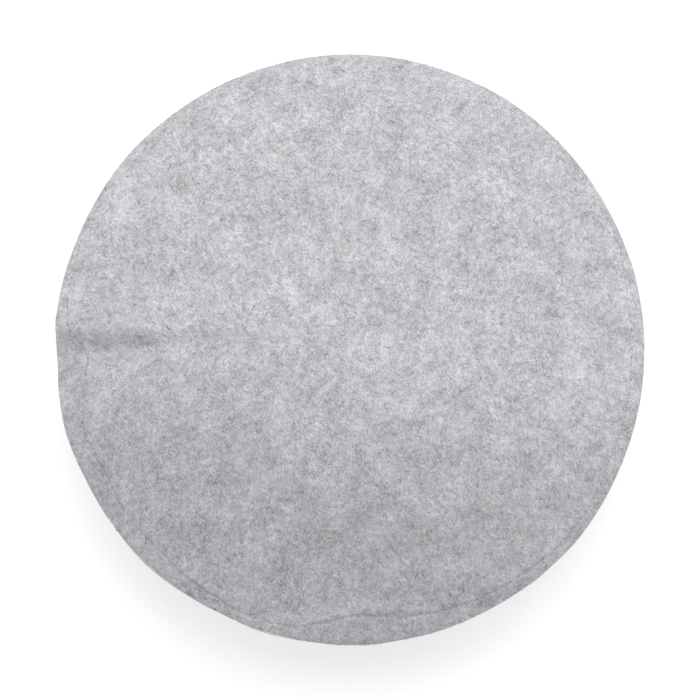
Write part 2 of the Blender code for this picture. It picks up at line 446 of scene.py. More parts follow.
CUT_WEAR = 0.6 * MM
round_the_cut(crown, CUT_WEAR)


def node(tree, kind, sockets=(), **settings):
    """Adds a node and fills its sockets, with values or from other nodes' outputs."""
    made = tree.nodes.new("ShaderNode" + kind)
    for setting, value in settings.items():
        setattr(made, setting, value)
    for socket, value in dict(sockets).items():
        if isinstance(value, bpy.types.NodeSocket):
            tree.links.new(value, made.inputs[socket])
        else:
            made.inputs[socket].default_value = value
    return made


def give_values(shader, values):
    """Sets sockets that are the same all over the material."""
    for socket, value in values.items():
        shader.inputs[socket].default_value = value


def reckon(tree, operation, first, second):
    return node(tree, "Math", {0: first, 1: second}, operation=operation).outputs[0]


def weighed(tree, parts):
    """The sum of several values, each times its weight."""
    total = 0.0
    for value, weight in parts:
        total = reckon(tree, "ADD", total, reckon(tree, "MULTIPLY", value, weight))
    return total


def colour_mix(tree, share, first, second, blend_type="MIX"):
    mixed = node(tree, "Mix", {0: share, 6: first, 7: second}, data_type="RGBA", blend_type=blend_type)
    return mixed.outputs[2]


def ramp(tree, value, low, high):
    """0 below low, 1 above high, and an eased step between them."""
    return node(
        tree, "MapRange", {0: value, 1: low, 2: high, 3: 0.0, 4: 1.0}, interpolation_type="SMOOTHSTEP"
    ).outputs[0]


def fibre_noise(tree, where, length, width, turn, detail=1.5):
    """Streaks of this length and width, turned this way on the flat cloth."""
    laid = node(
        tree,
        "Mapping",
        {"Vector": where, "Rotation": (0.0, 0.0, radians(turn)), "Scale": (length, width, width)},
        vector_type="TEXTURE",
    )
    streaks = node(
        tree, "TexNoise", {"Vector": laid.outputs[0], "Scale": 1.0, "Detail": detail, "Roughness": 0.55}
    )
    return streaks.outputs[0]


def cloud_noise(tree, where, size, detail=2.0):
    return node(tree, "TexNoise", {"Vector": where, "Scale": 1.0 / size, "Detail": detail, "Roughness": 0.55})


# The grain of the felt: short matted fibres, lighter and darker, that lie mostly one way, soft
# mottling, warm patches, a slight drift between yellowish and bluish wool, and rare dark tufts.
GRAIN_TURN = -62
grain = bpy.data.node_groups.new("felted_wool", "ShaderNodeTree")
for socket, kind in (
    ("Cloth", "NodeSocketVector"),
    ("Dark Wool", "NodeSocketColor"),
    ("Light Wool", "NodeSocketColor"),
    ("Warm Wool", "NodeSocketColor"),
):
    grain.interface.new_socket(name=socket, in_out="INPUT", socket_type=kind)
for socket, kind in (("Colour", "NodeSocketColor"), ("Nap Height", "NodeSocketFloat")):
    grain.interface.new_socket(name=socket, in_out="OUTPUT", socket_type=kind)
given = grain.nodes.new("NodeGroupInput")
result = grain.nodes.new("NodeGroupOutput")
cloth_place = given.outputs["Cloth"]

drift = cloud_noise(grain, cloth_place, 16 * MM, 1.0).outputs[1]
drift = node(grain, "VectorMath", {0: drift, 1: (0.5, 0.5, 0.5)}, operation="SUBTRACT").outputs[0]
drift = node(grain, "VectorMath", {0: drift, "Scale": 6.0 * MM}, operation="SCALE").outputs[0]
bent = node(grain, "VectorMath", {0: cloth_place, 1: drift}, operation="ADD").outputs[0]

lying = fibre_noise(grain, bent, 1.25 * MM, 0.56 * MM, GRAIN_TURN)
crossing = fibre_noise(grain, bent, 1.05 * MM, 0.55 * MM, GRAIN_TURN + 38)
fine = cloud_noise(grain, bent, 0.5 * MM, 1.0).outputs[0]
mottled = cloud_noise(grain, bent, 2.6 * MM, 2.0).outputs[0]
clouded = cloud_noise(grain, cloth_place, 11 * MM, 2.0).outputs[0]
patchy = cloud_noise(grain, cloth_place, 34 * MM, 0.0).outputs[0]

nap_height = weighed(grain, ((lying, 0.74), (crossing, 0.44), (fine, 0.26)))
tone = weighed(grain, ((nap_height, 1.0), (mottled, 0.56), (clouded, 0.40), (patchy, 0.12)))
tone_share = node(grain, "MapRange", {0: tone, 1: 0.94, 2: 1.58, 3: 0.0, 4: 1.0}).outputs[0]
wool = colour_mix(grain, tone_share, given.outputs["Dark Wool"], given.outputs["Light Wool"])

warmth = cloud_noise(grain, bent, 3.2 * MM, 3.0)
warm_share = reckon(grain, "MULTIPLY", ramp(grain, warmth.outputs[0], 0.52, 0.74), 0.5)
wool = colour_mix(grain, warm_share, wool, given.outputs["Warm Wool"])
blend = cloud_noise(grain, bent, 1.8 * MM, 2.0).outputs[0]
hues = colour_mix(grain, ramp(grain, blend, 0.3, 0.7), (0.475, 0.49, 0.53, 1), (0.53, 0.505, 0.465, 1))
wool = colour_mix(grain, 0.5, wool, hues, "OVERLAY")

# Rare darker tufts where coarse dark wool was carded in, a few of them brownish
tufts = cloud_noise(grain, bent, 1.7 * MM, 1.0)
tuft_share = reckon(grain, "MULTIPLY", ramp(grain, tufts.outputs[0], 0.66, 0.80), 0.55)
brownish = ramp(grain, clouded, 0.5, 0.6)
tuft_tint = colour_mix(grain, brownish, (0.20, 0.195, 0.215, 1), (0.25, 0.21, 0.19, 1))
wool = colour_mix(grain, tuft_share, wool, tuft_tint)
grain.links.new(wool, result.inputs["Colour"])
grain.links.new(nap_height, result.inputs["Nap Height"])


# Painted shade: the felt's colour is darkened towards the front left, where less light falls on the cap
SHADE_TOWARDS = (cos(radians(262)), sin(radians(262)), 0.0)
PAINTED_SHADE_TINT = (0.60, 0.59, 0.60, 1.0)
SHADE_FROM = 18 * MM
SHADE_TO = 112 * MM
SHADE_PATCH = 38 * MM
SHADE_STRAY = 46 * MM

# Painted shade in the fold at the left, where the crown is pinched: which way the fold runs,
# how far out the painted shade starts and is full, and how far across the fold it is full and ends
FOLD_TOWARDS = (cos(radians(181.5)), sin(radians(181.5)), 0.0)
FOLD_ACROSS = (-sin(radians(181.5)), cos(radians(181.5)), 0.0)
FOLD_FROM = 84 * MM
FOLD_TO = 110 * MM
FOLD_FULL = 3.5 * MM
FOLD_ENDS = 9.5 * MM
FOLD_PATCH = 5 * MM
FOLD_STRAY = 7 * MM
FOLD_SHADE = 0.62


def reach_towards(tree, place, direction):
    """How far out towards this direction the place lies."""
    reach = node(tree, "VectorMath", {0: place, 1: direction}, operation="DOT_PRODUCT")
    return reach.outputs["Value"]


def stray(tree, reach, place, patch, amount):
    """The same reach, made uneven in patches."""
    uneven = reckon(tree, "MULTIPLY", cloud_noise(tree, place, patch).outputs[0], amount)
    return reckon(tree, "ADD", reach, uneven)


def front_shade_mask(tree, place):
    out = reach_towards(tree, place, SHADE_TOWARDS)
    return ramp(tree, stray(tree, out, place, SHADE_PATCH, SHADE_STRAY), SHADE_FROM, SHADE_TO)


def fold_mask(tree, place):
    across = reckon(tree, "ABSOLUTE", reach_towards(tree, place, FOLD_ACROSS), 0.0)
    off_fold = ramp(tree, stray(tree, across, place, FOLD_PATCH, FOLD_STRAY), FOLD_FULL, FOLD_ENDS)
    in_fold = reckon(tree, "SUBTRACT", 1.0, off_fold)
    out = ramp(tree, reach_towards(tree, place, FOLD_TOWARDS), FOLD_FROM, FOLD_TO)
    return reckon(tree, "MULTIPLY", in_fold, out)


def felt(name, dark, light, warm, painted_shade):
    """Matt felted wool, with the soft bright edge that its short nap gives it, and painted shade that
    darkens it towards the front left and in the fold at the left."""
    material = bpy.data.materials.new(name)
    material.use_nodes = True
    tree = material.node_tree
    shader = tree.nodes["Principled BSDF"]
    flat_place = node(tree, "SeparateXYZ", {0: node(tree, "UVMap", uv_map="cloth").outputs[0]})
    depth = node(tree, "Attribute", attribute_name="depth", attribute_type="GEOMETRY")
    flat_x, flat_y = flat_place.outputs[:2]
    place = node(tree, "CombineXYZ", {0: flat_x, 1: flat_y, 2: depth.outputs["Fac"]})
    wool_grain = tree.nodes.new("ShaderNodeGroup")
    wool_grain.node_tree = grain
    tree.links.new(place.outputs[0], wool_grain.inputs["Cloth"])
    give_values(wool_grain, {"Dark Wool": dark, "Light Wool": light, "Warm Wool": warm})
    relief = node(
        tree, "Bump", {"Strength": 0.7, "Distance": 0.25 * MM, "Height": wool_grain.outputs["Nap Height"]}
    )
    # Painted shade: the colour is darkened towards the front left and in the fold at the left, where less
    # light falls
    front_shade_share = reckon(tree, "MULTIPLY", front_shade_mask(tree, place.outputs[0]), painted_shade)
    fold_share = reckon(tree, "MULTIPLY", fold_mask(tree, place.outputs[0]), FOLD_SHADE * painted_shade)
    painted_shade_share = reckon(tree, "ADD", front_shade_share, fold_share)
    colour = colour_mix(tree, painted_shade_share, wool_grain.outputs["Colour"], PAINTED_SHADE_TINT, "MULTIPLY")
    tree.links.new(colour, shader.inputs["Base Color"])
    tree.links.new(relief.outputs[0], shader.inputs["Normal"])
    give_values(shader, {"Roughness": 0.95, "Specular IOR Level": 0.15, "Sheen Weight": 0.25})
    give_values(shader, {"Sheen Roughness": 0.45, "Sheen Tint": (0.95, 0.95, 1.0, 1.0)})
    return material


# The last value is how strongly painted shade darkens the crown's felt
crown.data.materials.append(
    felt("crown_felt", (0.250, 0.246, 0.262, 1), (0.716, 0.712, 0.738, 1), (0.47, 0.445, 0.42, 1), 0.58)
)
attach(crown, "root")
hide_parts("crown")

# Loose wool on the crown: the fibres that felting and wear leave lying on the felt, most of them
# light or grey, with a few dark, brown, blue and cream ones. They are held by the felt alone.
Wool = namedtuple("Wool", "share thickness tint")
WOOLS = (
    Wool(0.38, 1.0, (0.69, 0.685, 0.70, 1.0)),
    Wool(0.34, 1.0, (0.52, 0.515, 0.535, 1.0)),
    Wool(0.20, 1.0, (0.37, 0.365, 0.38, 1.0)),
    Wool(0.020, 1.1, (0.14, 0.138, 0.15, 1.0)),
    Wool(0.022, 1.7, (0.20, 0.135, 0.105, 1.0)),
    Wool(0.010, 1.7, (0.13, 0.17, 0.27, 1.0)),
    Wool(0.013, 1.4, (0.70, 0.59, 0.39, 1.0)),
)
FIBRES = 12600
FIBRE_THICKNESS = 0.12 * MM
FIBRE_POINTS = 5
FIBRES_PAST_SEAM = 14 * MM
chance = np.random.default_rng(11)


def strands(name, lines, upward, thickness, tints, sides=3):
    """One mesh of many closed strands, tapered at both ends: lines is strands by points by 3."""
    count, points = lines.shape[:2]
    run = np.gradient(lines, axis=1)
    run /= np.linalg.norm(run, axis=-1, keepdims=True)
    sideways = np.cross(run, upward)
    sideways /= np.linalg.norm(sideways, axis=-1, keepdims=True)
    above = np.cross(sideways, run)
    fatness = np.sin(pi * np.linspace(0, 1, points)) ** 0.4
    turns = 2 * pi * np.arange(sides) / sides
    rim = np.cos(turns)[:, None] * sideways[:, :, None] + np.sin(turns)[:, None] * above[:, :, None]
    rings = lines[:, :, None] + rim * (fatness[:, None] * thickness[:, None, None] / 2)[..., None]
    rings = rings[:, 1:-1].reshape(count, -1, 3)
    corners = np.concatenate([lines[:, :1], rings, lines[:, -1:]], 1)
    each = corners.shape[1]
    faces = []
    for side_now in range(sides):
        side_next = (side_now + 1) % sides
        faces.append((0, 1 + side_next, 1 + side_now))
        last = 1 + sides * (points - 3)
        faces.append((each - 1, last + side_now, last + side_next))
        for ring_now in range(points - 3):
            low = 1 + sides * ring_now
            faces.append((low + side_now, low + side_next, low + sides + side_next))
            faces.append((low + side_now, low + sides + side_next, low + sides + side_now))
    all_faces = (np.arange(count)[:, None, None] * each + np.array(faces)[None]).reshape(-1, 3)
    mesh = bpy.data.meshes.new(name)
    mesh.from_pydata(corners.reshape(-1, 3).tolist(), [], all_faces.tolist())
    tint = mesh.color_attributes.new(name="tint", type="FLOAT_COLOR", domain="POINT")
    tint.data.foreach_set("color", np.repeat(tints, each, axis=0).astype(np.float32).ravel())
    mesh.shade_smooth()
    piece = bpy.data.objects.new(name, mesh)
    bpy.context.scene.collection.objects.link(piece)
    return piece


def pick_wool(count):
    """A wool for each fibre, in the shares of the table: thickness and tint, a little uneven."""
    shares = np.array([wool.share for wool in WOOLS])
    kinds = chance.choice(len(WOOLS), count, p=shares / shares.sum())
    thick = np.array([wool.thickness for wool in WOOLS])[kinds] * chance.uniform(0.75, 1.25, count)
    tints = np.array([wool.tint for wool in WOOLS])[kinds]
    tints[:, :3] *= chance.uniform(0.85, 1.15, (count, 1))
    return thick * FIBRE_THICKNESS, tints


def wandering(count):
    """The flat ways of loose fibres round their middles, and how high above the felt they lie."""
    length = chance.gamma(5.0, 0.45 * MM, count).clip(1.0 * MM, 5 * MM)
    heading = radians(GRAIN_TURN + 90) + chance.normal(0, 0.75, count)
    curl = chance.normal(0, 0.9, count)
    steps = np.linspace(-0.5, 0.5, FIBRE_POINTS)
    angle = heading[:, None] + curl[:, None] * steps * 2
    dx = np.cos(angle) * length[:, None] / (FIBRE_POINTS - 1)
    dy = np.sin(angle) * length[:, None] / (FIBRE_POINTS - 1)
    ways = np.stack([np.cumsum(dx, 1), np.cumsum(dy, 1)], -1)
    ways -= ways[:, FIBRE_POINTS // 2 : FIBRE_POINTS // 2 + 1]
    loose = chance.gamma(1.2, 0.10 * MM, (count, 1)).clip(0, 0.9 * MM)
    return ways, 0.02 * MM + loose * np.abs(steps * 2) ** 1.5


def loose_wool():
    """Thin dull wool, in the tint that each fibre carries."""
    material = bpy.data.materials.new("loose_wool")
    material.use_nodes = True
    tree = material.node_tree
    shader = tree.nodes["Principled BSDF"]
    tint = node(tree, "Attribute", attribute_name="tint", attribute_type="GEOMETRY")
    place = tree.nodes.new("ShaderNodeTexCoord")
    uneven = cloud_noise(tree, place.outputs["Object"], 0.5 * MM, 0.0).outputs[0]
    worn = colour_mix(tree, reckon(tree, "MULTIPLY", uneven, 0.4), tint.outputs["Color"], (0.5, 0.5, 0.51, 1))
    tree.links.new(worn, shader.inputs["Base Color"])
    give_values(shader, {"Roughness": 0.8, "Specular IOR Level": 0.25})
    return material


LOOSE_WOOL = loose_wool()
CUT_RADIUS = SEAM_RADIUS + EDGE_RINGS[-1] * MM
spread = np.sqrt(chance.uniform(0, 1, FIBRES)) * (SEAM_RADIUS + FIBRES_PAST_SEAM)
bearing = chance.uniform(0, 2 * pi, FIBRES)
ways, heights = wandering(FIBRES)
fibre_x = spread[:, None] * np.cos(bearing[:, None]) + ways[..., 0]
fibre_y = spread[:, None] * np.sin(bearing[:, None]) + ways[..., 1]
fibre_x, fibre_y = flange_drawn(fibre_x, fibre_y, back=True)
inside_cut = np.hypot(fibre_x, fibre_y).max(1) < CUT_RADIUS + 0.1 * MM
fibre_x, fibre_y, heights = fibre_x[inside_cut], fibre_y[inside_cut], heights[inside_cut]
flat_places = fibre_x.ravel(), fibre_y.ravel()
lying_on = crown_surface(*flat_places, CLOTH / 2)
upward = crown_surface(*flat_places, CLOTH / 2 + 1 * MM) - lying_on
upward /= np.linalg.norm(upward, axis=1, keepdims=True)
lines = (lying_on + upward * heights.reshape(-1, 1)).reshape(-1, FIBRE_POINTS, 3)
fibre_thickness, tints = pick_wool(len(lines))
crown_fibres = strands("crown_fibres", lines, upward.reshape(lines.shape), fibre_thickness, tints)
crown_fibres.data.materials.append(LOOSE_WOOL)
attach(crown_fibres, "root")

# Side: one long strip of the same felt, joined into a tube and stitched under the crown's edge.
# It runs in over the head opening, down to the rim, out and up, and is rolled in on itself into
# a thick soft ring, squeezed out of true by the hands that rolled it.
SEAM_GAP = 0.25 * MM
SLOPE_INSIDE_SEAM = 18.0
OPENING_RADIUS = 95.0 * MM
ROLL_RADIUS = 127.3 * MM
ROLL_TOP = 53.4 * MM
JOIN_AZIMUTH = 274.0

# The roll as squeezed by hand, in mm: how far out it bulges past ROLL_RADIUS, how much higher its
# top is, and how far above that its outer shoulder may puff up round the flange
Squeeze = namedtuple("Squeeze", "azimuth out up shoulder")
SQUEEZES = (
    Squeeze(0, -3.1, -0.4, 3.0),
    Squeeze(26, -2.9, -0.8, 3.0),
    Squeeze(46, -2.2, -2.8, 3.2),
    Squeeze(64, -2.0, -4.2, 3.2),
    Squeeze(90, -1.6, -4.8, 3.4),
    Squeeze(118, -2.0, -4.6, 3.4),
    Squeeze(138, -2.9, -3.2, 3.2),
    Squeeze(158, -3.5, -1.0, 3.0),
    Squeeze(172, -3.5, -2.2, 4.0),
    Squeeze(188, -3.3, -2.6, 4.0),
    Squeeze(202, -2.9, -0.6, 3.4),
    Squeeze(218, -2.9, 0.0, 3.4),
    Squeeze(232, -3.5, 0.0, 4.0),
    Squeeze(250, -2.6, 0.0, 4.0),
    Squeeze(271, -2.5, -0.4, 4.0),
    Squeeze(288, -2.9, 0.0, 4.0),
    Squeeze(312, -2.5, 0.0, 4.0),
    Squeeze(330, -2.5, 0.0, 3.0),
    Squeeze(346, -2.9, 0.0, 3.0),
)

# The strip's way, in the order of the cloth. Flange: the share of its width. Neck: the share of
# the way in to the head opening, and mm below the seam. Outside and inside of the roll: the share of
# the way from the head opening out to the widest line, and from the surface below up to the top.
STRIP_FLANGE = (0.93, 0.5, 0.0)
Neck = namedtuple("Neck", "inward below")
NECK = (
    Neck(0.22, 1.2),
    Neck(0.55, 3.0),
    Neck(0.86, 6.6),
)
Turn = namedtuple("Turn", "outward upward")
OUTSIDE = (
    Turn(0.035, 0.90),
    Turn(0.010, 0.72),
    Turn(0.000, 0.46),
    Turn(0.012, 0.20),
    Turn(0.065, 0.075),
    Turn(0.22, 0.0),
    Turn(0.36, 0.0),
    Turn(0.50, 0.0),
    Turn(0.64, 0.0),
    Turn(0.795, 0.045),
    Turn(0.930, 0.150),
    Turn(1.010, 0.32),
    Turn(1.038, 0.50),
    Turn(1.022, 0.70),
)
INSIDE = (
    Turn(0.740, 1.000),
    Turn(0.590, 1.000),
    Turn(0.390, 0.985),
    Turn(0.215, 0.88),
    Turn(0.150, 0.66),
    Turn(0.150, 0.28),
    Turn(0.290, 0.090),
    Turn(0.600, 0.090),
    Turn(0.785, 0.25),
    Turn(0.825, 0.60),
    Turn(0.680, 0.84),
)

# The roll's shoulder between them, which lies close under the flange: mm in from the roll's widest
# line and down from the shoulder's top
Shoulder = namedtuple("Shoulder", "inward below")
SHOULDER = (
    Shoulder(0.1, 4.2),
    Shoulder(0.8, 1.7),
    Shoulder(2.0, 0.4),
    Shoulder(3.3, 0.05),
    Shoulder(4.6, 0.0),
    Shoulder(6.6, 0.1),
)


def strip_flange(share, azimuth):
    """A point of the strip's layer of the flange, which follows the crown's round the bend."""
    angle = droop(azimuth)
    below = CLOTH + SEAM_GAP
    inside = np.radians(SLOPE_INSIDE_SEAM + around(SEAM, azimuth, "tuck"))
    mitre = below * np.tan((angle - inside) / 2)
    reach = share * flange_width(azimuth) + (1 - share) * mitre
    out = seam_radius(azimuth) + reach * np.cos(angle) - below * np.sin(angle)
    return out, seam_height(azimuth) - reach * np.sin(angle) - below * np.cos(angle)


def shoulder_top(azimuth, highest):
    """How high the roll's shoulder may come: just clear of the flange's cut edge."""
    angle = droop(azimuth)
    _, edge_up = strip_flange(STRIP_FLANGE[0], azimuth)
    puffed = highest + around(SQUEEZES, azimuth, "shoulder") * MM
    return np.minimum(edge_up - CLOTH / 2 * (1 + np.cos(angle)) - 2 * SEAM_GAP, puffed)


def strip_rows(azimuth):
    """The strip's way at these azimuths: how far out and how high, row by row of the tables."""
    rows = [strip_flange(share, azimuth) for share in STRIP_FLANGE]
    start, top = rows[-1]
    rows += [(start + (OPENING_RADIUS - start) * neck.inward, top - neck.below * MM) for neck in NECK]
    widest = ROLL_RADIUS + around(SQUEEZES, azimuth, "out") * MM
    highest = ROLL_TOP + around(SQUEEZES, azimuth, "up") * MM

    def turns(table):
        return [
            (
                OPENING_RADIUS + (widest - OPENING_RADIUS) * turn.outward,
                CLOTH / 2 + (highest - CLOTH / 2) * turn.upward,
            )
            for turn in table
        ]

    top = shoulder_top(azimuth, highest)
    shoulder = [(widest - row.inward * MM, top - row.below * MM) for row in SHOULDER]
    rows += turns(OUTSIDE) + shoulder + turns(INSIDE)
    return np.array([out for out, _ in rows]), np.array([up for _, up in rows])


# Columns of the strip stand closer together beside its join, where the felt is pinched
STRIP_COLUMNS = 384
JOIN_COLUMNS = 64
JOIN_REACH = 9.0
near_join = np.linspace(-JOIN_REACH, JOIN_REACH, JOIN_COLUMNS, endpoint=False)
far_round = np.linspace(JOIN_REACH, 360 - JOIN_REACH, STRIP_COLUMNS - JOIN_COLUMNS, endpoint=False)
COLUMN_AZIMUTHS = (np.concatenate([near_join, far_round]) + JOIN_AZIMUTH) % 360

row_out, row_up = strip_rows(COLUMN_AZIMUTHS)
mean_out, mean_up = row_out.mean(1), row_up.mean(1)
row_at = np.concatenate([[0.0], np.cumsum(np.hypot(np.diff(mean_out), np.diff(mean_up)))])
OUTSIDE_ROW = len(STRIP_FLANGE) + len(NECK)
SHOULDER_ROW = OUTSIDE_ROW + len(OUTSIDE) - 1
TOP_ROW = SHOULDER_ROW + len(SHOULDER) + 1
OUTSIDE_AT, SHOULDER_AT, TOP_AT = row_at[OUTSIDE_ROW], row_at[SHOULDER_ROW], row_at[TOP_ROW]

# Rings of the strip lie closest together on the shoulder, and furthest apart inside the roll
ring_at = np.concatenate(
    [
        np.linspace(0.0, SHOULDER_AT, 62, endpoint=False),
        np.linspace(SHOULDER_AT, TOP_AT, 20, endpoint=False),
        np.linspace(TOP_AT, row_at[-1], 26),
    ]
)
ring_out, ring_up = curve_through(row_at, row_out, ring_at), curve_through(row_at, row_up, ring_at)

bpy.ops.object.select_all(action="DESELECT")
bpy.ops.mesh.primitive_circle_add(
    vertices=STRIP_COLUMNS, radius=ring_out[0].mean(), location=(0.0, 0.0, ring_up[0].mean())
)
side = bpy.context.object
side.name = "side_cloth"
bpy.ops.object.mode_set(mode="EDIT")
bpy.ops.mesh.select_mode(type="EDGE")
bpy.ops.mesh.select_all(action="SELECT")
for after in range(1, len(ring_at)):
    before = after - 1
    grow = ring_out[after].mean() / ring_out[before].mean()
    bpy.ops.mesh.extrude_region_move()
    bpy.ops.transform.resize(value=(grow, grow, 1.0), center_override=(0.0, 0.0, 0.0))
    bpy.ops.transform.translate(value=(0.0, 0.0, ring_up[after].mean() - ring_up[before].mean()))
bpy.ops.object.mode_set(mode="OBJECT")
bpy.ops.object.transform_apply(location=True, rotation=True, scale=True)

column = np.round(np.degrees(np.arctan2(*corners_of(side)[:, 1::-1].T)) / (360 / STRIP_COLUMNS))
column = column.astype(int) % STRIP_COLUMNS
ring = np.arange(len(column)) // STRIP_COLUMNS

# Soft folds of the roll, each size by how deep it is, how long round the cap and how long across
ROLL_FOLDS = ((1.4 * MM, 64 * MM, 20 * MM), (0.6 * MM, 28 * MM, 13 * MM), (0.12 * MM, 8 * MM, 6 * MM))
CALM_ABOVE = 22.0 * MM
CALM_REACH = 18.0 * MM
FLOOR_EASE = 9.0 * MM
NECK_ENDS = 40.0 * MM
JOIN_WELT = 0.14 * MM
JOIN_GROOVE = 0.35 * MM

# Creases on the outside of the roll: where their middles are, how they lean from level, and how
# long and deep they are. Heights and lengths are in mm. The roll is calmest towards its top.
Crease = namedtuple("Crease", "azimuth up lean long deep")
CREASES = (
    Crease(186, 27, 52, 22, 1.6),
    Crease(200, 17, 14, 40, 2.2),
    Crease(226, 29, -10, 46, 1.9),
    Crease(252, 16, 17, 38, 2.3),
    Crease(281, 25, -24, 34, 2.0),
    Crease(309, 15, 8, 44, 2.1),
    Crease(334, 28, -16, 34, 1.9),
    Crease(3, 18, 15, 42, 2.2),
    Crease(38, 28, -9, 48, 2.0),
    Crease(68, 16, 22, 34, 2.1),
    Crease(99, 27, -18, 40, 2.2),
    Crease(131, 17, 12, 46, 2.0),
    Crease(158, 28, 34, 28, 1.8),
)
CREASE_WIDTH = 2.7 * MM
CREASE_SWELL = 6.5 * MM


def crease_relief(azimuth, up):
    """How far the creases push the roll's outside in, and plump it out beside them."""
    relief = np.zeros(up.shape)
    for crease in CREASES:
        level = np.radians((azimuth - crease.azimuth + 180) % 360 - 180) * ROLL_RADIUS
        rise = up - crease.up * MM
        lean = radians(crease.lean)
        along, across = level * cos(lean) + rise * sin(lean), rise * cos(lean) - level * sin(lean)
        across = across - 3 * MM * np.sin(along / (crease.long * MM) * 2.2)
        fade = bump(along, crease.long * MM / 2) * crease.deep * MM
        swell = 0.35 * bump(np.abs(across) - CREASE_SWELL, CREASE_SWELL / 2)
        relief += fade * (swell - bump(across, CREASE_WIDTH))
    return relief


def join_relief(from_join):
    """The strip's join: a groove where the two ends are drawn together, plump on both sides of it."""
    welt = bump(np.abs(from_join) - 1.7 * MM, 1.2 * MM)
    return JOIN_WELT * welt - JOIN_GROOVE * bump(from_join, 0.45 * MM)


def side_grid():
    """Every point of the strip's mid surface, ring by ring, with its outward direction."""
    turn = np.radians(COLUMN_AZIMUTHS)
    points = np.stack([ring_out * np.cos(turn), ring_out * np.sin(turn), ring_up], -1)
    across = np.roll(points, -1, 1) - np.roll(points, 1, 1)
    outward = np.cross(across, np.gradient(points, axis=0))
    outward /= np.linalg.norm(outward, axis=-1, keepdims=True)
    folds = np.zeros(ring_out.shape)
    for reach, round_size, along_size in ROLL_FOLDS:
        place = np.stack(
            [
                np.cos(turn) * np.ones_like(ring_out) * SEAM_RADIUS / round_size,
                np.sin(turn) * np.ones_like(ring_out) * SEAM_RADIUS / round_size,
                np.ones_like(ring_out) * ring_at[:, None] / along_size,
            ],
            -1,
        )
        folds += reach * lumps(place.reshape(-1, 3), 1.0, (8.3, 2.9, 1.7)).reshape(folds.shape)
    off_floor = np.clip((ring_up - CLOTH / 2) / FLOOR_EASE, 0, 1)
    off_flange = np.clip((ring_at[:, None] - NECK_ENDS / 2) / NECK_ENDS, 0, 1)
    showing = np.sign(np.sum(outward * points, -1)[np.argmax(ring_out.mean(1))].mean())
    outward *= showing
    from_join = np.radians((COLUMN_AZIMUTHS - JOIN_AZIMUTH + 180) % 360 - 180) * SEAM_RADIUS
    calm = 1 - 0.8 * np.clip((ring_up - CALM_ABOVE) / CALM_REACH, 0, 1)
    relief = folds * off_flange * calm + join_relief(from_join) * np.clip(ring_at[:, None] / NECK_ENDS, 0, 1)
    outside = np.clip(np.sum(outward * points, -1) / ring_out, 0, 1) * (ring_at < SHOULDER_AT)[:, None]
    relief += crease_relief(COLUMN_AZIMUTHS, ring_up) * outside * calm
    return points + outward * (relief * off_floor)[..., None], outward


side_points, side_outward = side_grid()
move_corners(side, side_points[ring, column])
side.data.update()

# The flat strip: along it from the join, and across it from the crown's edge to the roll's heart
edge_turn = (COLUMN_AZIMUTHS - JOIN_AZIMUTH) % 360
crossed = np.cumsum(np.hypot(np.diff(ring_out, axis=0), np.diff(ring_up, axis=0)), 0)
crossed = np.concatenate([np.zeros((1, STRIP_COLUMNS)), crossed])
flat_strip = np.stack([np.radians(edge_turn[column]) * SEAM_RADIUS, crossed[ring, column]], 1)
strip_map = lay_flat(side, flat_strip)

# Faces that span the join run on past the strip's end
STRIP_LENGTH = 2 * pi * SEAM_RADIUS
laid = np.empty(len(side.data.loops) * 2)
strip_map.uv.foreach_get("vector", laid)
laid = laid.reshape(-1, 4, 2)
over_join = np.ptp(laid[:, :, 0], axis=1) > STRIP_LENGTH / 2
laid[:, :, 0] += np.where(over_join[:, None] & (laid[:, :, 0] < STRIP_LENGTH / 2), STRIP_LENGTH, 0.0)
strip_map.uv.foreach_set("vector", laid.astype(np.float32).ravel())

bpy.ops.object.select_all(action="DESELECT")
side.select_set(True)
bpy.context.view_layer.objects.active = side
flat_corners = len(side.data.vertices)
give_wall(side)
walled = corners_of(side)
walled[:, 2] = np.maximum(walled[:, 2], 0.0)
move_corners(side, walled)
mark_depth(side, flat_corners)
round_the_cut(side, CUT_WEAR)
# Painted light: the side's felt is painted a little lighter than the crown's so the roll below the flange is
# not darker, and it has no painted shade
side.data.materials.append(
    felt("side_felt", (0.262, 0.258, 0.274, 1), (0.731, 0.727, 0.753, 1), (0.48, 0.455, 0.43, 1), 0.0)
)
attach(side, "root")
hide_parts("rolled_side")

# Loose wool on the side, on the face of the strip that shows: down inside the head opening, under
# the rim, and up the outside of the roll to its top
COLUMN_TURNS = np.concatenate([near_join, far_round, [360 - JOIN_REACH]])


def on_side(at, azimuth, lift):
    """Points this far across the strip from the crown's edge and at these azimuths, with their
    outward directions. Lift is the height above the middle of the cloth on the face that shows."""
    column_at = np.interp(
        (azimuth - JOIN_AZIMUTH + JOIN_REACH) % 360 - JOIN_REACH, COLUMN_TURNS, np.arange(STRIP_COLUMNS + 1)
    )
    ring_place = np.interp(at, ring_at, np.arange(len(ring_at)))
    low_ring = np.clip(ring_place.astype(int), 0, len(ring_at) - 2)
    low_column = column_at.astype(int) % STRIP_COLUMNS
    share_up, share_round = (ring_place - low_ring)[:, None], (column_at % 1)[:, None]

    def between(grid):
        next_column = (low_column + 1) % STRIP_COLUMNS
        lower = grid[low_ring, low_column] * (1 - share_round) + grid[low_ring, next_column] * share_round
        upper = (
            grid[low_ring + 1, low_column] * (1 - share_round)
            + grid[low_ring + 1, next_column] * share_round
        )
        return lower * (1 - share_up) + upper * share_up

    outward = between(side_outward)
    outward /= np.linalg.norm(outward, axis=1, keepdims=True)
    return between(side_points) + outward * np.reshape(lift, (-1, 1)), outward


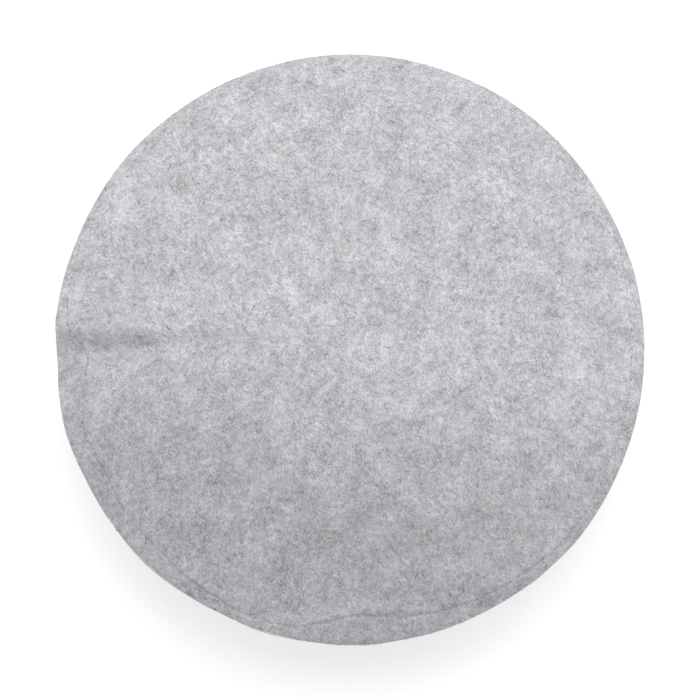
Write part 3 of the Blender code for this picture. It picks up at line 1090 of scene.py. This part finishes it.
shows_from, shows_to = OUTSIDE_AT, TOP_AT
SIDE_FIBRES = 10400
ways, heights = wandering(SIDE_FIBRES)
middle_at = chance.uniform(shows_from, shows_to, SIDE_FIBRES)
middle_turn = chance.uniform(0, 360, SIDE_FIBRES)
stretch = np.gradient(crossed, axis=0) / np.gradient(ring_at)[:, None]
middle_ring = np.clip(np.searchsorted(ring_at, middle_at), 0, len(ring_at) - 1)
middle_column = np.searchsorted(COLUMN_TURNS, (middle_turn + JOIN_REACH) % 360 - JOIN_REACH) % STRIP_COLUMNS
fibre_at = (middle_at[:, None] + ways[..., 1] / stretch[middle_ring, middle_column][:, None]).ravel()
fibre_turn = (middle_turn[:, None] + np.degrees(ways[..., 0] / SEAM_RADIUS)).ravel()
lying_on, upward = on_side(fibre_at, fibre_turn, CLOTH / 2 + heights.ravel())
lying_on[:, 2] = np.maximum(lying_on[:, 2], 0.15 * MM)
lines = lying_on.reshape(-1, FIBRE_POINTS, 3)
fibre_thickness, tints = pick_wool(len(lines))
side_fibres = strands("side_fibres", lines, upward.reshape(lines.shape), fibre_thickness, tints)
side_fibres.data.materials.append(LOOSE_WOOL)
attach(side_fibres, "root")

# Thread: grey cotton, in small running stitches through both flanges all round the seam, seen from
# above and from below, and in a line of them down the strip's join. They are sunk in the felt.
THREAD = 0.34 * MM
STITCH = 2.1 * MM
STITCH_PITCH = 3.2 * MM
STITCH_POINTS = 7
THREAD_TINT = (0.35, 0.345, 0.36, 1.0)
stitch_steps = np.linspace(-0.5, 0.5, STITCH_POINTS)
stitch_arch = 0.22 * MM - 0.75 * MM * (2 * np.abs(stitch_steps)) ** 2.5

around_seam = np.arange(0, 360, np.degrees(STITCH_PITCH / SEAM_RADIUS))[:-1]
stitch_turns = around_seam[:, None] + np.degrees(STITCH / SEAM_RADIUS) * stitch_steps
seam_path = SEAM_RADIUS + wander(stitch_turns.ravel())
stitch_angles = np.radians(stitch_turns.ravel())
seam_x = seam_path * np.cos(stitch_angles)
seam_y = seam_path * np.sin(stitch_angles)
on_top = crown_surface(seam_x, seam_y, CLOTH / 2)
top_upward = crown_surface(seam_x, seam_y, CLOTH / 2 + 1 * MM) - on_top
top_upward /= np.linalg.norm(top_upward, axis=1, keepdims=True)
arch = np.tile(stitch_arch, len(around_seam))[:, None]
top_lines = (on_top + top_upward * arch).reshape(-1, STITCH_POINTS, 3)

seam_on_strip = row_at[len(STRIP_FLANGE) - 1]
below_turns = stitch_turns.ravel() + np.degrees(STITCH_PITCH / 2 / SEAM_RADIUS)
below_at = np.full(below_turns.shape, seam_on_strip - 0.8 * MM)
underside, below_upward = on_side(below_at, below_turns, -CLOTH / 2)
below_lines = (underside - below_upward * arch).reshape(-1, STITCH_POINTS, 3)

join_at = np.arange(shows_from, shows_to, STITCH_PITCH)[:-1]
join_steps = (join_at[:, None] + STITCH * stitch_steps).ravel()
on_join, join_upward = on_side(join_steps, np.full(join_steps.shape, JOIN_AZIMUTH), CLOTH / 2)
on_join[:, 2] = np.maximum(on_join[:, 2], 0.3 * MM)
join_arch = np.tile(stitch_arch, len(join_at))[:, None]
join_lines = (on_join + join_upward * join_arch).reshape(-1, STITCH_POINTS, 3)

stitch_lines = np.concatenate([top_lines, below_lines, join_lines])
stitch_upward = np.concatenate([top_upward, -below_upward, join_upward]).reshape(stitch_lines.shape)
thread = strands(
    "seam_thread",
    stitch_lines,
    stitch_upward,
    np.full(len(stitch_lines), THREAD),
    np.tile(THREAD_TINT, (len(stitch_lines), 1)),
    sides=6,
)
thread.data.materials.append(LOOSE_WOOL)
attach(thread, "root")

# Floor, soft lights and camera: the cap lies on a white surface, seen from almost straight above
# with the light from behind it and a little to the right.
bpy.ops.object.select_all(action="DESELECT")
bpy.ops.mesh.primitive_plane_add(size=6.0, location=(0.0, 0.0, -0.1 * MM))
floor = bpy.context.object
floor.name = "floor"
paper = bpy.data.materials.new("white_surface")
paper.use_nodes = True
paper_shader = paper.node_tree.nodes["Principled BSDF"]
give_values(paper_shader, {"Base Color": (0.62, 0.62, 0.62, 1.0), "Roughness": 0.9})
give_values(paper_shader, {"Specular IOR Level": 0.1, "Emission Color": (1.0, 1.0, 1.0, 1.0)})
give_values(paper_shader, {"Emission Strength": 0.48})
floor.data.materials.append(paper)


def soft_light(name, azimuth, elevation, distance, size, watts):
    """A square soft light that faces the cap."""
    lamp = bpy.data.lights.new(name, "AREA")
    lamp.size = size
    lamp.energy = watts
    light = bpy.data.objects.new(name, lamp)
    bpy.context.scene.collection.objects.link(light)
    turn, rise = radians(azimuth), radians(elevation)
    light.location = distance * Vector((cos(rise) * cos(turn), cos(rise) * sin(turn), sin(rise)))
    light.rotation_euler = light.location.to_track_quat("Z", "Y").to_euler()
    return light


soft_light("window", 80, 69, 2.4, 1.6, 33.6)

world = bpy.data.worlds.new("room")
bpy.context.scene.world = world
world.use_nodes = True
background = world.node_tree.nodes["Background"]
background.inputs["Color"].default_value = (0.985, 0.985, 1.0, 1.0)
seen = node(world.node_tree, "LightPath").outputs["Is Camera Ray"]
strength = node(world.node_tree, "MapRange", {0: seen, 3: 0.68, 4: 1.0}).outputs[0]
world.node_tree.links.new(strength, background.inputs["Strength"])

CAMERA_ELEVATION = radians(81)
CAMERA_DISTANCE = 0.9346
LOOKS_AT = Vector((0.0002, 0.0, 0.027))
away = Vector((0.0, -cos(CAMERA_ELEVATION), sin(CAMERA_ELEVATION)))
lens = bpy.data.cameras.new("camera")
lens.lens = 110.4
lens.sensor_width = 36.0
lens.clip_start = 0.05
camera = bpy.data.objects.new("camera", lens)
bpy.context.scene.collection.objects.link(camera)
camera.location = LOOKS_AT + away * CAMERA_DISTANCE
camera.rotation_euler = away.to_track_quat("Z", "Y").to_euler()
bpy.context.scene.camera = camera
bpy.context.scene.view_settings.view_transform = "Standard"
